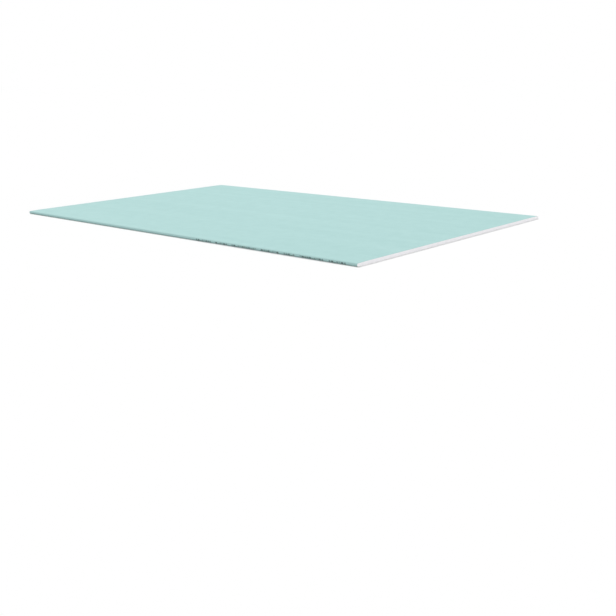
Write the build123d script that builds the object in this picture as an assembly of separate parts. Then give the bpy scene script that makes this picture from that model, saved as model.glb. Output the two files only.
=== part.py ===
from build123d import *
import os

# A drywall sheet lying face up: a gypsum core cast between two papers.
# The face paper covers the face, wraps both long edges and turns in under the core.
# The back paper is glued over those two flaps. The short ends are cut square and show the core.
# X runs along the length, Y across the width and Z up. The origin is under the middle of the sheet.

# Sizes of the whole sheet, in millimetres
SHEET_LENGTH = 2000.0
SHEET_WIDTH = 1250.0
SHEET_THICKNESS = 12.5

# Long edges: the face slopes down towards the edge, which then closes in a half-round
TAPER_WIDTH = 50.0
TAPER_DEPTH = 1.0

# Papers: their thickness, the reach of the face paper's flaps under the core, and the glued lap
FACE_PAPER_THICKNESS = 0.4
BACK_PAPER_THICKNESS = 0.35
FLAP_WIDTH = 30.0
LAP_WIDTH = 16.0

# Places that follow from the sizes, on the section across the sheet
half_width = SHEET_WIDTH / 2
taper_start_y = half_width - TAPER_WIDTH
flap_end_y = half_width - FLAP_WIDTH
back_paper_y = flap_end_y + LAP_WIDTH
flap_underside_z = BACK_PAPER_THICKNESS
flap_inside_z = flap_underside_z + FACE_PAPER_THICKNESS
edge_top_z = SHEET_THICKNESS - TAPER_DEPTH
nose_radius = (edge_top_z - flap_underside_z) / 2
nose_centre_y = half_width - nose_radius
nose_centre_z = flap_underside_z + nose_radius


def half_round(side, depth):
    """The rounded long edge on one side, from the flap up to the taper, at a depth below the outside."""
    return ThreePointArc(
        (side * nose_centre_y, flap_underside_z + depth),
        (side * (half_width - depth), nose_centre_z),
        (side * nose_centre_y, edge_top_z - depth),
    )


def wrapped_line(depth):
    """The face paper's line from flap to flap, over the face, at a depth below the outside."""
    flap_z = flap_underside_z + depth
    return [
        Line((-flap_end_y, flap_z), (-nose_centre_y, flap_z)),
        half_round(-1, depth),
        Polyline(
            (-nose_centre_y, edge_top_z - depth),
            (-taper_start_y, SHEET_THICKNESS - depth),
            (taper_start_y, SHEET_THICKNESS - depth),
            (nose_centre_y, edge_top_z - depth),
        ),
        half_round(1, depth),
        Line((nose_centre_y, flap_z), (flap_end_y, flap_z)),
    ]


def face_paper_section():
    """The strip between the paper's outside and its inside, closed at the ends of the two flaps."""
    flap_ends = [
        Line((side * flap_end_y, flap_underside_z), (side * flap_end_y, flap_inside_z))
        for side in (-1, 1)
    ]
    return make_face(wrapped_line(0) + wrapped_line(FACE_PAPER_THICKNESS) + flap_ends)


def gypsum_core_section():
    """What the face paper encloses, with the back stepped down between the flaps to meet the back paper."""
    back = Polyline(
        (-flap_end_y, flap_inside_z),
        (-flap_end_y, BACK_PAPER_THICKNESS),
        (flap_end_y, BACK_PAPER_THICKNESS),
        (flap_end_y, flap_inside_z),
    )
    return make_face(wrapped_line(FACE_PAPER_THICKNESS) + [back])


def back_paper_section():
    """A flat strip on the floor that laps over both flaps."""
    return make_face(
        Polyline(
            (-back_paper_y, 0),
            (back_paper_y, 0),
            (back_paper_y, BACK_PAPER_THICKNESS),
            (-back_paper_y, BACK_PAPER_THICKNESS),
            close=True,
        )
    )


def along_the_sheet(section):
    """A section across the sheet, run out to both cut ends."""
    return extrude(Plane.YZ * section, amount=SHEET_LENGTH / 2, both=True)


pieces = {
    "gypsum_core": gypsum_core_section(),
    "face_paper": face_paper_section(),
    "back_paper": back_paper_section(),
}
os.makedirs("parts", exist_ok=True)
for name, section in pieces.items():
    export_step(along_the_sheet(section), f"parts/{name}.step")
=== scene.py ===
# %% [markdown]
# # Dressing a drywall sheet
#
# A drywall sheet is a slab of foamed gypsum, cast between two papers.
# The mint-green face paper covers the face, wraps both long edges and turns in under the core.
# The back paper is glued over those two flaps. The short ends are cut square and show the white core.
# CAD made the three solids at their real size. This lesson draws each of them again as a finer mesh,
# in the same place and in metres, and gives it the finish of the real sheet.

# %% Load the solids
import math

import bmesh
import bpy
from mathutils import Matrix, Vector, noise


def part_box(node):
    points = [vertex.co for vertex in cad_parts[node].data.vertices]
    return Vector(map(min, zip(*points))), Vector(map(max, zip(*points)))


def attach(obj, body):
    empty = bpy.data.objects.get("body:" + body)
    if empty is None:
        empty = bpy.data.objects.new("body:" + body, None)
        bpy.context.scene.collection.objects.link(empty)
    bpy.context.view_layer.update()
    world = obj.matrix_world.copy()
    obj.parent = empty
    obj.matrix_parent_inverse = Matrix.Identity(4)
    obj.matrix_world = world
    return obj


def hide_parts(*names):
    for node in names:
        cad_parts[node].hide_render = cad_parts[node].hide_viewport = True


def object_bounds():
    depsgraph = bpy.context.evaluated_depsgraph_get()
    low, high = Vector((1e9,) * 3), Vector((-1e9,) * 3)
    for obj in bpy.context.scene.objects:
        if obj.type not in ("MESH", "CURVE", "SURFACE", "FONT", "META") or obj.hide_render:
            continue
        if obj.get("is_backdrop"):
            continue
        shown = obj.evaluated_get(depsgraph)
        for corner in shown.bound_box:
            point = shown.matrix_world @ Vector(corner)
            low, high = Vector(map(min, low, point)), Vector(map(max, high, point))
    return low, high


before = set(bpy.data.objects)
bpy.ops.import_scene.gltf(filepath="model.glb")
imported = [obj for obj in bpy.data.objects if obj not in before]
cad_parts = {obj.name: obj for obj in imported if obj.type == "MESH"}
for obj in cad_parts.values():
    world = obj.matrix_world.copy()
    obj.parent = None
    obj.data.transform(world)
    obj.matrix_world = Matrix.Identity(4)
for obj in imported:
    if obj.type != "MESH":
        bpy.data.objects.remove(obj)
cad_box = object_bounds()
print("solids:", sorted(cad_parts))

# %% [markdown]
# ## The section across the sheet
#
# Each piece of the sheet is one section, run from cut end to cut end.
# Its sizes could be typed in again, but the solids already hold them.
# So they are read from the corners of the solids, and a new piece fits the CAD by itself.
# Only the side with positive Y is read, because the section is the same on both sides.

# %% Read the sizes of the section
TINY = 1e-6

paper_corners = [vertex.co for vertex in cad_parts["face_paper"].data.vertices]
face_z = max(corner.z for corner in paper_corners)
flap_z = min(corner.z for corner in paper_corners)
taper_y = max(corner.y for corner in paper_corners if corner.z > face_z - TINY)
flap_corners = [corner.y for corner in paper_corners if corner.z < flap_z + TINY and corner.y > 0]
flap_y = min(flap_corners)
nose_y = max(flap_corners)
edge_z = max(corner.z for corner in paper_corners if corner.y > nose_y - TINY)
nose_radius = (edge_z - flap_z) / 2
nose_z = flap_z + nose_radius

core_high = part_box("gypsum_core")[1]
half_length = core_high.x
core_top_z = core_high.z
face_paper_thickness = face_z - core_top_z
back_paper_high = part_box("back_paper")[1]

for label, size in {
    "half length": half_length,
    "half width": nose_y + nose_radius,
    "thickness": face_z,
    "start of the taper": taper_y,
    "radius of the long edge": nose_radius,
    "face paper": face_paper_thickness,
    "back paper": back_paper_high.z,
}.items():
    print(f"{label}: {size * 1000:.2f} mm")

# %% [markdown]
# ## The camera
#
# The sheet is seen from low down, where a small error in the camera bends the whole outline.
# A camera could be turned by eye until it looks right. Here its lens, place and turn were worked out
# from where the sheet's corners lie in the picture, and that includes a roll of about one degree.

# %% Place the camera
LENS_MM = 51.44
CAMERA_PLACE = (2.782, -2.848, 0.613)
CAMERA_TURN = math.radians(42.03)
CAMERA_PITCH = math.radians(14.77)
CAMERA_ROLL = math.radians(-0.99)

scene = bpy.context.scene
scene.view_settings.view_transform = "Standard"
camera = bpy.data.objects.new("camera", bpy.data.cameras.new("camera"))
camera.data.lens = LENS_MM
camera.matrix_world = (
    Matrix.Translation(CAMERA_PLACE)
    @ Matrix.Rotation(CAMERA_TURN, 4, "Z")
    @ Matrix.Rotation(math.pi / 2 - CAMERA_PITCH, 4, "X")
    @ Matrix.Rotation(CAMERA_ROLL, 4, "Z")
)
scene.collection.objects.link(camera)
scene.camera = camera
print(f"camera {camera.location.length:.2f} m from the middle of the sheet")

# %% [markdown]
# ## What is lit and what is seen
#
# Round the sheet the picture is white, but a stage that really is that bright would flood the sheet
# with light from all sides. A Light Path node can tell rays apart, so floor and sky get two shaders each:
# one for the light that they throw on the sheet, and a white one for what the camera or a gloss shows.
# Every finish in this lesson is a tree of nodes, so a helper adds, sets and links a node in one line.

# %% Tell the rays apart
WHITE = (1, 1, 1, 1)


def add_node(tree, kind, inputs, **settings):
    """Adds a shader node. A socket among its inputs is linked, and a plain value is set."""
    node = tree.nodes.new("ShaderNode" + kind)
    for name, value in settings.items():
        setattr(node, name, value)
    for key, value in inputs.items():
        if isinstance(value, bpy.types.NodeSocket):
            tree.links.new(value, node.inputs[key])
        else:
            node.inputs[key].default_value = value
    return node


def worked_out(tree, operation, first, second):
    """The result of a sum on two values, such as ADD or MULTIPLY."""
    return add_node(tree, "Math", {0: first, 1: second}, operation=operation).outputs[0]


def lit_or_seen(tree, lit, seen):
    """Shows the shader seen to the camera, in gloss and through glass, and lit to all other rays."""
    rays = add_node(tree, "LightPath", {}).outputs
    share = worked_out(tree, "MAXIMUM", rays["Is Camera Ray"], rays["Is Glossy Ray"])
    share = worked_out(tree, "MAXIMUM", share, rays["Is Transmission Ray"])
    return add_node(tree, "MixShader", {0: share, 1: lit.outputs[0], 2: seen.outputs[0]}).outputs[0]


print("floor and sky will be seen in the colour", WHITE)

# %% [markdown]
# ## A pale floor
#
# The sheet lies on a plain studio floor. A curved backdrop could hide the horizon,
# but a floor that runs far out hides it as well, because the sky is seen in the same white.
# Both its paints are matt, so the sheet's thin shadow shows. The one that lights the sheet is grey
# and throws back half of the light. With a white one the rounded edges would have no shade below.

# %% Lay the floor
FLOOR_SHADE = 0.5
FLOOR_REACH = 60.0


def floor_paint():
    """Matt grey paint that is seen in white."""
    material = bpy.data.materials.new("floor_paint")
    material.use_nodes = True
    tree = material.node_tree
    tree.nodes.remove(tree.nodes["Principled BSDF"])
    lit = add_node(tree, "BsdfDiffuse", {"Color": (FLOOR_SHADE, FLOOR_SHADE, FLOOR_SHADE, 1)})
    seen = add_node(tree, "BsdfDiffuse", {"Color": WHITE})
    tree.links.new(lit_or_seen(tree, lit, seen), tree.nodes["Material Output"].inputs["Surface"])
    return material


bm = bmesh.new()
bmesh.ops.create_grid(bm, x_segments=1, y_segments=1, size=FLOOR_REACH)
floor = bpy.data.objects.new("floor", bpy.data.meshes.new("floor"))
bm.to_mesh(floor.data)
bm.free()
floor.data.materials.append(floor_paint())
scene.collection.objects.link(floor)
floor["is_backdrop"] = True
print(f"floor {2 * FLOOR_REACH:.0f} m wide")

# %% [markdown]
# ## An even sky
#
# Soft studio light comes from all around. A tent of lamps could give it, but an even sky is simpler.
# It gives the sheet about half its light, and it is seen in white like the floor, so the horizon is gone.

# %% Light the sky
SKY_SHARE = 0.45


def make_sky():
    """An even sky that lights the sheet and is seen in white."""
    world = bpy.data.worlds.new("sky")
    world.use_nodes = True
    tree = world.node_tree
    lit = tree.nodes["Background"]
    lit.inputs["Color"].default_value = WHITE
    lit.inputs["Strength"].default_value = SKY_SHARE
    seen = add_node(tree, "Background", {"Color": WHITE, "Strength": 1})
    tree.links.new(lit_or_seen(tree, lit, seen), tree.nodes["World Output"].inputs["Surface"])
    return world


scene.world = make_sky()
print(f"sky with {SKY_SHARE:.0%} of the light")

# %% [markdown]
# ## Two wide suns
#
# In even light alone the sheet would have no shadow, and its white end would be lost on the floor.
# A key sun stands behind the sheet on the left. It draws a thin shadow on the floor in front,
# which shows where the sheet ends. A fill sun stands low in front on the right. It gives the floor
# and the face little light, but it lights the cut end nearly straight on and the front edge at a slant.
# Lamps near the sheet would do the same, but they would light one corner more than another.
# Sky and suns add up to a strength of 1 on a level surface, so a colour renders as it is written.

# %% Set the suns
FILL_SHARE = 0.1
KEY_SHARE = 1 - SKY_SHARE - FILL_SHARE


def set_sun(name, level_share, elevation, turn, width):
    """Lights a level surface with its share. Angles are in degrees, and a turn of 0 is on the right."""
    lamp = bpy.data.lights.new(name, "SUN")
    lamp.angle = math.radians(width)
    lamp.energy = level_share * math.pi / math.sin(math.radians(elevation))
    sun = bpy.data.objects.new(name, lamp)
    sun.rotation_euler = (0, math.radians(90 - elevation), math.radians(turn))
    scene.collection.objects.link(sun)
    print(f"{name}: {lamp.energy:.2f} W/m2")


set_sun("key_sun", KEY_SHARE, elevation=40, turn=142, width=18)
set_sun("fill_sun", FILL_SHARE, elevation=9, turn=-25, width=12)

# %% [markdown]
# ## What every finish shares
#
# Paper and gypsum are never of one even colour. A picture could hold their clouds and specks,
# but noise needs no file and stays sharp close by. Each finish starts from a point's own place
# on the sheet in metres, so the scale of a noise is a number of patches per metre.
# Noise hardly ever leaves the middle of its range, so it is stretched before it is used.
# A Mix node has sockets for every kind of value, and several share a name.
# So the ones for colours go by their numbers.

# %% Prepare the finishes
NOISE_LOW = 0.3
NOISE_HIGH = 0.7
MIX_SHARE, MIX_FIRST, MIX_SECOND = 0, 6, 7
MIXED_COLOUR = 2


def start_finish(name, shine):
    """A new material, with its node tree, its shader and the places on the sheet in metres."""
    material = bpy.data.materials.new(name)
    material.use_nodes = True
    tree = material.node_tree
    shader = tree.nodes["Principled BSDF"]
    shader.inputs["Specular IOR Level"].default_value = shine
    places = add_node(tree, "TexCoord", {}).outputs["Object"]
    return material, tree, shader, places


def between(tree, value, low, high, start, end):
    """A value between low and high, moved to the range from start to end and held there."""
    inputs = {"Value": value, "From Min": low, "From Max": high, "To Min": start, "To Max": end}
    return add_node(tree, "MapRange", inputs).outputs["Result"]


def noise_of(tree, places, scale, detail, low=NOISE_LOW, high=NOISE_HIGH, most=1):
    """Noise with a number of patches per metre, from 0 where it is low to most where it is high."""
    if isinstance(scale, tuple):
        places = add_node(tree, "Mapping", {"Vector": places, "Scale": scale}).outputs[0]
        scale = 1
    made = add_node(tree, "TexNoise", {"Vector": places, "Scale": scale, "Detail": detail})
    return between(tree, made.outputs["Fac"], low, high, 0, most)


def colour_between(tree, share, first, second):
    """The first colour where the share is 0, and the second where it is 1."""
    inputs = {MIX_SHARE: share, MIX_FIRST: first, MIX_SECOND: second}
    return add_node(tree, "Mix", inputs, data_type="RGBA").outputs[MIXED_COLOUR]


print(f"noise is stretched from {NOISE_LOW} and {NOISE_HIGH} to 0 and 1")

# %% [markdown]
# ## How paper looks
#
# Drywall paper is pressed from recycled fibres. It is matt, and its colour is never quite even:
# the pulp is a little cloudy, the forming belt leaves faint bands along the sheet,
# and single fibres lie mostly along it too, with a few darker flecks among them.
# Each of these could have a texture of its own kind. A noise with a scale for each axis can be stretched,
# so bands and fibres come from the same helper as the clouds.

# %% Describe the paper
CLOUDS_PER_METRE = 24
CLOUD_SHARE = 0.35
BANDS_PER_METRE = (0.35, 11, 0)
BAND_SHARE = 0.35
FIBRES_PER_METRE = (240, 1500, 1500)
FIBRE_SHARE = 0.3
FIBRE_HEIGHT = 0.00003
FIBRE_RELIEF = 0.25
FLECKS_PER_METRE = 520
FLECK_START = 0.72
FLECK_FULL = 0.76
PAPER_SHINE = 0.1
SMOOTH_PAPER = 0.80
ROUGH_PAPER = 0.92


def paper_finish(name, deep, pale, fleck, fleck_share):
    """Matt paper whose colour wanders between deep and pale, with a few flecks of other fibres."""
    material, tree, shader, places = start_finish(name, PAPER_SHINE)
    clouds = noise_of(tree, places, CLOUDS_PER_METRE, detail=4, most=CLOUD_SHARE)
    bands = noise_of(tree, places, BANDS_PER_METRE, detail=2, most=BAND_SHARE)
    fibres = noise_of(tree, places, FIBRES_PER_METRE, detail=3)
    pulp = worked_out(tree, "ADD", clouds, bands)
    pulp = worked_out(tree, "ADD", pulp, worked_out(tree, "MULTIPLY", fibres, FIBRE_SHARE))
    flecks = noise_of(
        tree, places, FLECKS_PER_METRE, detail=1, low=FLECK_START, high=FLECK_FULL, most=fleck_share
    )
    colour = colour_between(tree, flecks, colour_between(tree, pulp, deep, pale), fleck)
    tree.links.new(colour, shader.inputs["Base Color"])
    tree.links.new(between(tree, fibres, 0, 1, SMOOTH_PAPER, ROUGH_PAPER), shader.inputs["Roughness"])
    relief = {"Height": fibres, "Strength": FIBRE_RELIEF, "Distance": FIBRE_HEIGHT}
    tree.links.new(add_node(tree, "Bump", relief).outputs[0], shader.inputs["Normal"])
    return material


print(f"paper: fibres about {1000 / FIBRES_PER_METRE[0]:.0f} mm long")

# %% [markdown]
# ## Three papers
#
# The face of this sheet is mint-green, the sign of a board for damp rooms. Its back is plain grey,
# and a cut bares the raw inside of both, where there is less dye. Each could have its own tree of nodes,
# but they differ only in their colours, so the same description serves all three.

# %% Make the papers
mint_paper = paper_finish(
    "mint_face_paper",
    deep=(0.415, 0.653, 0.638, 1),
    pale=(0.478, 0.717, 0.702, 1),
    fleck=(0.32, 0.50, 0.48, 1),
    fleck_share=0.5,
)
back_paper = paper_finish(
    "grey_back_paper",
    deep=(0.430, 0.415, 0.365, 1),
    pale=(0.560, 0.545, 0.490, 1),
    fleck=(0.20, 0.18, 0.15, 1),
    fleck_share=0.8,
)
raw_paper = paper_finish(
    "raw_cut_paper",
    deep=(0.500, 0.545, 0.500, 1),
    pale=(0.640, 0.680, 0.630, 1),
    fleck=(0.35, 0.33, 0.28, 1),
    fleck_share=0.6,
)
print("papers:", mint_paper.name, back_paper.name, raw_paper.name)

# %% [markdown]
# ## The line of the face paper
#
# In the factory the face paper comes off a roll, and both its sides are folded up round the wet gypsum.
# A flat sheet could be folded in Blender too, but a fold moves every point beyond it.
# It is easier to draw the folded paper's line across the sheet, from one flap's end to the other's,
# and to run it out afterwards. An extruded vertex draws a straight stretch,
# and spin draws the half-round of a long edge.

# %% Draw the line of the face paper
NOSE_STEPS = 24


def drawn_to(bm, tip, y, z):
    """Runs a line on from its tip to a place across the sheet, and returns the new tip."""
    made = bmesh.ops.extrude_vert_indiv(bm, verts=[tip])
    tip = made["verts"][0]
    tip.co.y = y
    tip.co.z = z
    return tip


def rounded(bm, tip, centre_y):
    """Runs a line half a turn round a long edge, and returns the new tip."""
    made = bmesh.ops.spin(
        bm,
        geom=[tip],
        cent=(tip.co.x, centre_y, nose_z),
        axis=(1, 0, 0),
        angle=-math.pi,
        steps=NOSE_STEPS,
    )
    return made["geom_last"][0]


face_sheet = bmesh.new()
tip = face_sheet.verts.new((-half_length, -flap_y, flap_z))
tip = drawn_to(face_sheet, tip, -nose_y, flap_z)
tip = rounded(face_sheet, tip, -nose_y)
tip = drawn_to(face_sheet, tip, -taper_y, face_z)
tip = drawn_to(face_sheet, tip, taper_y, face_z)
tip = drawn_to(face_sheet, tip, nose_y, edge_z)
tip = rounded(face_sheet, tip, nose_y)
drawn_to(face_sheet, tip, flap_y, flap_z)
unfolded = sum(edge.calc_length() for edge in face_sheet.edges)
print(f"face paper: {unfolded * 1000:.0f} mm wide when unfolded")

# %% [markdown]
# ## From line to sheet
#
# The line becomes a sheet when it is run out from one cut end to the other.
# At the ends a blade went through the paper, and its fibres stand back unevenly from the cut.
# A straight border would look like plastic. So the line is divided first, a few fibres at a time,
# and noise then moves the points at both ends back. Cuts across the sheet keep its faces
# from becoming slivers as long as the sheet itself.

# %% Run the face paper out
FIBRE_STEP = 0.002
LENGTHWISE_CUTS = 7
RAGGED_DEPTH = 0.0003
RAGGED_PER_METRE = 700


def as_share(value):
    """A noise value from -1 to 1 as a share from 0 to 1."""
    return (value + 1) / 2


def run_out(bm):
    """Runs a line out along the sheet and makes its two cut ends ragged."""
    for edge in [edge for edge in bm.edges if edge.calc_length() > FIBRE_STEP]:
        bmesh.ops.subdivide_edges(bm, edges=[edge], cuts=int(edge.calc_length() / FIBRE_STEP))
    made = bmesh.ops.extrude_edge_only(bm, edges=bm.edges[:])
    moved = [part for part in made["geom"] if isinstance(part, bmesh.types.BMVert)]
    bmesh.ops.translate(bm, verts=moved, vec=(2 * half_length, 0, 0))
    lengthwise = [edge for edge in bm.edges if edge.calc_length() > half_length]
    bmesh.ops.subdivide_edges(bm, edges=lengthwise, cuts=LENGTHWISE_CUTS, use_grid_fill=True)
    for vertex in bm.verts:
        if abs(vertex.co.x) > half_length - TINY:
            torn = as_share(noise.noise(vertex.co * RAGGED_PER_METRE))
            vertex.co.x -= math.copysign(RAGGED_DEPTH * torn, vertex.co.x)
    bmesh.ops.recalc_face_normals(bm, faces=bm.faces[:])


run_out(face_sheet)
area = sum(face.calc_area() for face in face_sheet.faces)
print(f"face paper: {area:.3f} m2 in {len(face_sheet.faces)} faces")

# %% [markdown]
# ## The thickness of the paper
#
# Solidify turns the sheet into a wall. It grows against the normals, so the outside stays
# where the CAD has it and the paper gets thicker inwards. A Solidify modifier would do the same,
# but the cut has a finish of its own: it shows the raw inside of the paper.
# Once the wall is in the mesh, the faces that look along the sheet are those of the cut.

# %% Thicken the face paper
PAPER_SLOT, RAW_SLOT, INK_SLOT = range(3)
CUT_LEAN = math.radians(45)


def thicken(bm, thickness):
    """Gives a paper its thickness and marks the raw faces at its two cut ends."""
    bmesh.ops.solidify(bm, geom=bm.faces[:], thickness=thickness)
    bm.normal_update()
    for face in bm.faces:
        if abs(face.normal.x) > math.cos(CUT_LEAN):
            face.material_index = RAW_SLOT


thicken(face_sheet, face_paper_thickness)
print(f"face paper: {face_sheet.calc_volume(signed=True) * 1000:.3f} litres")

# %% [markdown]
# ## Where the strokes lie
#
# The ink jet marks the front edge from near its right end, over more than a third of its length.
# Here the marks are plain strokes of two widths, some of them only part of the height, in groups.
# They could be listed one by one, but a short row of strokes, repeated through groups
# of different lengths, is just as uneven. Heights are angles on the half-round, in whole steps of it.

# %% Place the strokes
PRINT_INSET = 0.050
STROKES_IN_GROUPS = (7, 10, 5, 8, 12, 6, 8)
STROKE_GAP = 0.005
GROUP_GAP = 0.022
WIDE_STROKE = 0.009
NARROW_STROKE = 0.005
ROW_ANGLE = math.pi / NOSE_STEPS
PRINT_LOW = -6 * ROW_ANGLE
PRINT_MIDDLE = -1 * ROW_ANGLE
PRINT_HIGH = 3 * ROW_ANGLE
STROKE_ROW = (
    (NARROW_STROKE, PRINT_LOW, PRINT_HIGH),
    (WIDE_STROKE, PRINT_LOW, PRINT_HIGH),
    (NARROW_STROKE, PRINT_MIDDLE, PRINT_HIGH),
    (NARROW_STROKE, PRINT_LOW, PRINT_HIGH),
    (NARROW_STROKE, PRINT_LOW, PRINT_MIDDLE),
    (WIDE_STROKE, PRINT_LOW, PRINT_HIGH),
    (NARROW_STROKE, PRINT_LOW, PRINT_HIGH),
)


def stroke_places():
    """Each stroke's start and end along the sheet, and its lowest and highest angle on the edge."""
    strokes = []
    place = half_length - PRINT_INSET
    for count in STROKES_IN_GROUPS:
        for _ in range(count):
            width, low, high = STROKE_ROW[len(strokes) % len(STROKE_ROW)]
            strokes.append((place - width, place, low, high))
            place -= width + STROKE_GAP
        place -= GROUP_GAP
    return strokes


strokes = stroke_places()
print(f"{len(strokes)} strokes over {(strokes[0][1] - strokes[-1][0]) * 1000:.0f} mm of the front edge")

# %% [markdown]
# ## Drops of ink
#
# An ink jet shoots rows of drops that run into each other, and the paper drinks them unevenly.
# Thousands of drops could be modelled, but they have no height. So the printed paper is a copy
# of the face paper's finish with ink on it. A cell texture with little randomness is a grid of points,
# and the distance from a point makes a drop. The grid is bent round the half-round of the front edge,
# with one row of drops for each step of it. A point strays a little from the corner of its cell.
# So the grid is moved to put it in the middle of a step, and drops at a stroke's border are whole.

# %% Make the ink
DROP_LENGTH = 0.001
STRAY_SHARE = 0.2
DROP_RADIUS_SHARE = 0.46
BLEED_SHARE = 0.16
INK_CLOUDS_PER_METRE = 900


def drops_of(tree, places):
    """Rows of drops on the front edge, 1 on a drop and 0 on the paper between the drops."""
    x, y, z = add_node(tree, "SeparateXYZ", {0: places}).outputs
    out = worked_out(tree, "SUBTRACT", -nose_y, y)
    turn = worked_out(tree, "ARCTAN2", worked_out(tree, "SUBTRACT", z, nose_z), out)
    unrolled = add_node(tree, "CombineXYZ", {0: x, 1: turn}).outputs[0]
    drops_each_way = (1 / DROP_LENGTH, 1 / ROW_ANGLE, 1)
    to_middle = (1 + STRAY_SHARE) / 2
    spread = {"Vector": unrolled, "Scale": drops_each_way, "Location": (to_middle, to_middle, 0)}
    grid = add_node(tree, "Mapping", spread).outputs[0]
    points = {"Vector": grid, "Scale": 1, "Randomness": STRAY_SHARE}
    distance = add_node(tree, "TexVoronoi", points, voronoi_dimensions="2D").outputs["Distance"]
    return between(tree, distance, DROP_RADIUS_SHARE, DROP_RADIUS_SHARE + BLEED_SHARE, 1, 0)


def printed(paper, wet, dry):
    """A copy of a paper's finish with drops of ink on it, whose colour wanders between wet and dry."""
    material = paper.copy()
    material.name = "printed_" + paper.name
    tree = material.node_tree
    colour = tree.nodes["Principled BSDF"].inputs["Base Color"]
    bare = colour.links[0].from_socket
    places = tree.nodes["Texture Coordinate"].outputs["Object"]
    ink = colour_between(tree, noise_of(tree, places, INK_CLOUDS_PER_METRE, detail=2), wet, dry)
    tree.links.new(colour_between(tree, drops_of(tree, places), bare, ink), colour)
    return material


printed_paper = printed(mint_paper, wet=(0.012, 0.016, 0.018, 1), dry=(0.055, 0.075, 0.078, 1))
print(f"{printed_paper.name}: {round((PRINT_HIGH - PRINT_LOW) / ROW_ANGLE)} rows of drops")

# %% [markdown]
# ## Ink on the long edge
#
# The material could paint the strokes too, but a stroke needs a crisp border, however close the view.
# So the printed band of the half-round is inked as a whole, planes cut it at both sides of each stroke,
# and the ink is taken off again where no stroke lies.

# %% Ink the strokes
def on_stroke(face, start, end, low, high):
    """Tells if a face lies on the front edge between two places and looks out between two angles."""
    middle = face.calc_center_median()
    angle = math.atan2(face.normal.z, -face.normal.y)
    return middle.y < -nose_y and start < middle.x < end and low < angle < high


def print_strokes(bm, strokes):
    """Inks the whole band, cuts it at both sides of each stroke and cleans off the rest."""
    for face in bm.faces:
        whole_band = on_stroke(face, -half_length, half_length, PRINT_LOW, PRINT_HIGH)
        if whole_band and face.material_index == PAPER_SLOT:
            face.material_index = INK_SLOT
    for x in [side for start, end, low, high in strokes for side in (start, end)]:
        band = [face for face in bm.faces if face.material_index == INK_SLOT]
        parts = dict.fromkeys(part for face in band for part in (face, *face.edges, *face.verts))
        bmesh.ops.bisect_plane(bm, geom=list(parts), plane_co=(x, 0, 0), plane_no=(1, 0, 0))
    bm.normal_update()
    for face in bm.faces:
        if face.material_index == INK_SLOT and not any(on_stroke(face, *stroke) for stroke in strokes):
            face.material_index = PAPER_SLOT


print_strokes(face_sheet, strokes)
inked = sum(face.calc_area() for face in face_sheet.faces if face.material_index == INK_SLOT)
print(f"ink: {inked * 10000:.1f} cm2")

# %% [markdown]
# ## From mesh to piece
#
# A finished mesh becomes an object with its finishes, which takes the place of its hidden solid
# and moves with the sheet. Flat shading would show every step of the half-round,
# and smooth shading alone would round off the cut ends. So the whole mesh is smooth,
# and only edges that turn by more than 30 degrees are sharp.

# %% Finish the face paper
SHARP_ANGLE = math.radians(30)


def finish_piece(bm, name, node, materials):
    """Makes a bmesh a piece with its finishes, which hides its solid and moves with the sheet."""
    mesh = bpy.data.meshes.new(name)
    bm.to_mesh(mesh)
    bm.free()
    for material in materials:
        mesh.materials.append(material)
    mesh.shade_smooth()
    mesh.set_sharp_from_angle(angle=SHARP_ANGLE)
    piece = bpy.data.objects.new(name, mesh)
    scene.collection.objects.link(piece)
    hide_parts(node)
    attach(piece, "root")
    print(f"{name}: {len(mesh.polygons)} faces")


face_finishes = [mint_paper, raw_paper, printed_paper]
finish_piece(face_sheet, "wrapped_face_paper", "face_paper", face_finishes)

# %% [markdown]
# ## The back paper
#
# The back paper is a flat strip, a little narrower than the sheet, that laps over both flaps.
# A thin box would do for it, but the helpers of the face paper give it the same ragged cut.
# Its line lies on the floor and its faces look down, so its thickness grows upwards.

# %% Draw the back paper
back_sheet = bmesh.new()
tip = back_sheet.verts.new((-half_length, -back_paper_high.y, 0))
drawn_to(back_sheet, tip, back_paper_high.y, 0)
run_out(back_sheet)
bmesh.ops.reverse_faces(back_sheet, faces=[face for face in back_sheet.faces if face.normal.z > 0])
thicken(back_sheet, back_paper_high.z)
print(f"back paper: {back_sheet.calc_volume(signed=True) * 1000:.3f} litres")
finish_piece(back_sheet, "lapped_back_paper", "back_paper", [back_paper, raw_paper])

# %% [markdown]
# ## Bubbles in the gypsum
#
# The core is foamed to save weight, so a cut through it shows bubbles of many sizes.
# A cell texture has one point in each of its cells, and a dot round each point would make a bubble,
# darkened with painted shade for its hollow.
# Dots of one size look like a printed pattern, though. Here a cell's random colour sets the size
# of its bubble, raised to a power, so most bubbles are tiny and only a few are wide.

# %% Blow the bubbles
SMALL_BUBBLES_PER_METRE = 1900
LARGE_BUBBLES_PER_METRE = 850
WIDEST_BUBBLE_SHARE = 0.45
BUBBLE_RARITY = 4


def bubbles_of(tree, places, cells_per_metre):
    """Round bubbles, 1 at the middle and 0 outside. Each cell holds one, and most are small."""
    cells = add_node(tree, "TexVoronoi", {"Vector": places, "Scale": cells_per_metre}).outputs
    chance = add_node(tree, "SeparateColor", {0: cells["Color"]}).outputs["Red"]
    size = worked_out(tree, "POWER", chance, BUBBLE_RARITY)
    radius = worked_out(tree, "MULTIPLY", size, WIDEST_BUBBLE_SHARE)
    reach = worked_out(tree, "DIVIDE", cells["Distance"], radius)
    return between(tree, reach, 0, 1, 1, 0)


widest_bubble = 2 * WIDEST_BUBBLE_SHARE / LARGE_BUBBLES_PER_METRE
print(f"bubbles up to {widest_bubble * 1000:.1f} mm wide")
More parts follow.
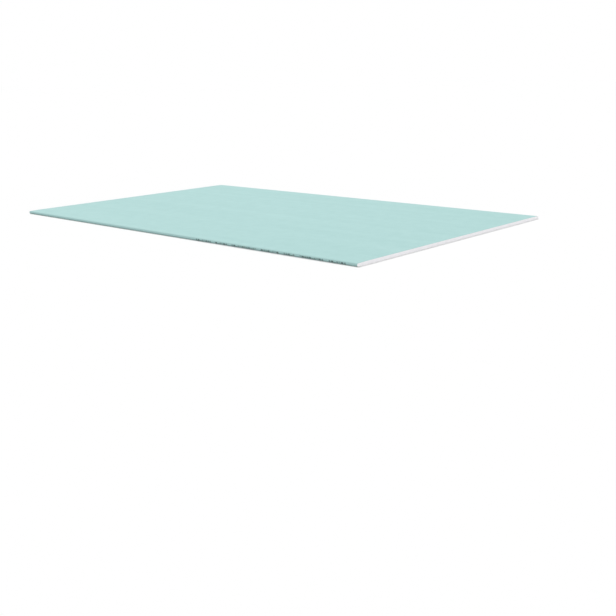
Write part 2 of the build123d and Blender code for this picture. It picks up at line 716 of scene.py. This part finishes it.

# %% [markdown]
# ## The gypsum
#
# Round its bubbles the gypsum is chalk-white and dull, with a fine grain, and the blade that cut the end
# left upright marks in it. Modelled one by one, these would take millions of faces.
# So they are colour and bump in the material, and only what breaks the outline is modelled later.
# The bubbles are grey with painted shade, where their hollows would lie in shadow.

# %% Make the gypsum
GRAINS_PER_METRE = 1800
GRAIN_SHARE = 0.6
CHALK_CLOUDS_PER_METRE = 60
DULL_CHALK = (0.780, 0.772, 0.800, 1)
CLEAN_CHALK = (0.885, 0.880, 0.900, 1)
# Painted shade: the grey that stands in for the shadow inside a bubble's hollow.
PAINTED_BUBBLE_SHADE = (0.56, 0.55, 0.58, 1)
CUT_MARKS_PER_METRE = (0, 1300, 70)
CUT_DEPTH = 0.0002
CUT_RELIEF = 0.5
CHALK_SHINE = 0.15
CHALK_ROUGHNESS = 0.95


def gypsum_finish():
    """Chalk-white gypsum with fine grain, bubbles of many sizes darkened with painted shade, and the
    marks of the blade.
    """
    material, tree, shader, places = start_finish("white_gypsum", CHALK_SHINE)
    shader.inputs["Roughness"].default_value = CHALK_ROUGHNESS
    grain = noise_of(tree, places, GRAINS_PER_METRE, detail=4)
    clouds = noise_of(tree, places, CHALK_CLOUDS_PER_METRE, detail=3, most=1 - GRAIN_SHARE)
    share = worked_out(tree, "ADD", worked_out(tree, "MULTIPLY", grain, GRAIN_SHARE), clouds)
    chalk = colour_between(tree, share, DULL_CHALK, CLEAN_CHALK)
    small = bubbles_of(tree, places, SMALL_BUBBLES_PER_METRE)
    bubbles = worked_out(tree, "MAXIMUM", small, bubbles_of(tree, places, LARGE_BUBBLES_PER_METRE))
    # Painted shade darkens each bubble in place of the shadow in its hollow; the bump below dents it.
    tree.links.new(colour_between(tree, bubbles, chalk, PAINTED_BUBBLE_SHADE), shader.inputs["Base Color"])
    marks = noise_of(tree, places, CUT_MARKS_PER_METRE, detail=3)
    height = worked_out(tree, "SUBTRACT", worked_out(tree, "ADD", marks, grain), bubbles)
    relief = {"Height": height, "Strength": CUT_RELIEF, "Distance": CUT_DEPTH}
    tree.links.new(add_node(tree, "Bump", relief).outputs[0], shader.inputs["Normal"])
    return material


white_gypsum = gypsum_finish()
print(f"{white_gypsum.name}: grains about {1000 / GRAINS_PER_METRE:.1f} mm wide")

# %% [markdown]
# ## One end of the core
#
# The core shows only at its cut ends, so those get fine detail and the stretch between them gets none.
# An end could be filled from its outline, but that would give large faces with no points to move.
# So a fine grid is bent to the section instead: each column of it spreads from the core's underside
# to its top, and the outer columns bulge until the last one is the half-round of the long edge.

# %% Bend a grid to the end of the core
GRAIN_STEP = 0.0008

core_radius = nose_radius - face_paper_thickness
core_half_width = nose_y + core_radius
flap_inside_z = flap_z + face_paper_thickness


def core_heights(reach):
    """The lowest and highest point of the core at a reach from the middle, short of the rounded edge."""
    low = back_paper_high.z if reach < flap_y else flap_inside_z
    slope = max(0, reach - taper_y) / (nose_y - taper_y)
    return low, core_top_z - slope * (face_z - edge_z)


def on_section(across, up):
    """Where a point of the flat grid, from -1 to 1 each way, lies on the core's section."""
    reach = abs(across) * core_half_width
    low, high = core_heights(min(reach, nose_y))
    turn = up * math.pi / 2
    y = min(reach, nose_y) + max(0, reach - nose_y) * math.cos(turn)
    return math.copysign(y, across), (low + high) / 2 + (high - low) / 2 * math.sin(turn)


core = bmesh.new()
columns = round(2 * core_half_width / GRAIN_STEP)
bmesh.ops.create_grid(core, x_segments=columns, y_segments=NOSE_STEPS, size=1)
for vertex in core.verts:
    vertex.co = (half_length, *on_section(vertex.co.x, vertex.co.y))
end_area = sum(face.calc_area() for face in core.faces)
print(f"end of the core: {end_area * 10000:.1f} cm2 in {columns} columns")

# %% [markdown]
# ## The whole core
#
# The blade pulls crumbs out of the end and opens the larger bubbles. A bump in the material would
# show that only from straight on, so the points of the grid are really pushed in: a little everywhere,
# and deeper where a pore lies. The other end is a mirrored copy with crumbs of its own,
# and a bridge joins the two.

# %% Crumble both ends and join them
PORES_PER_METRE = 260
PORE_SHARE = 0.3
PORE_DEPTH = 0.0007
CRUMBS_PER_METRE = 900
CRUMB_DEPTH = 0.00025


def crumbled(place):
    """How far the cut has pulled gypsum out of a place on the end."""
    distances, pores = noise.voronoi(place * PORES_PER_METRE)
    chance = as_share(noise.cell(pores[0]))
    pore = max(0, chance - distances[0] / PORE_SHARE)
    crumb = as_share(noise.noise(place * CRUMBS_PER_METRE))
    return PORE_DEPTH * math.sqrt(pore) + CRUMB_DEPTH * crumb


made = bmesh.ops.duplicate(core, geom=core.verts[:] + core.edges[:] + core.faces[:])
copied = [part for part in made["geom"] if isinstance(part, bmesh.types.BMVert)]
bmesh.ops.scale(core, verts=copied, vec=(-1, 1, 1))
for vertex in core.verts:
    vertex.co.x -= math.copysign(crumbled(vertex.co), vertex.co.x)
bmesh.ops.remove_doubles(core, verts=core.verts[:], dist=TINY)
bmesh.ops.bridge_loops(core, edges=[edge for edge in core.edges if edge.is_boundary])
bmesh.ops.recalc_face_normals(core, faces=core.faces[:])
print(f"core: {core.calc_volume(signed=True) * 1000:.2f} litres")
finish_piece(core, "cut_gypsum_core", "gypsum_core", [white_gypsum])

# %% [markdown]
# ## The size
#
# The dressed sheet has to stay inside the box of its solids. Both boxes could be compared by eye,
# So they are printed.

# %% Print both boxes and finish
boxes = {"cad": cad_box, "visual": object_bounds()}
for name, (low, high) in boxes.items():
    print(name, "box in mm:", [round(side * 1000, 2) for side in high - low])
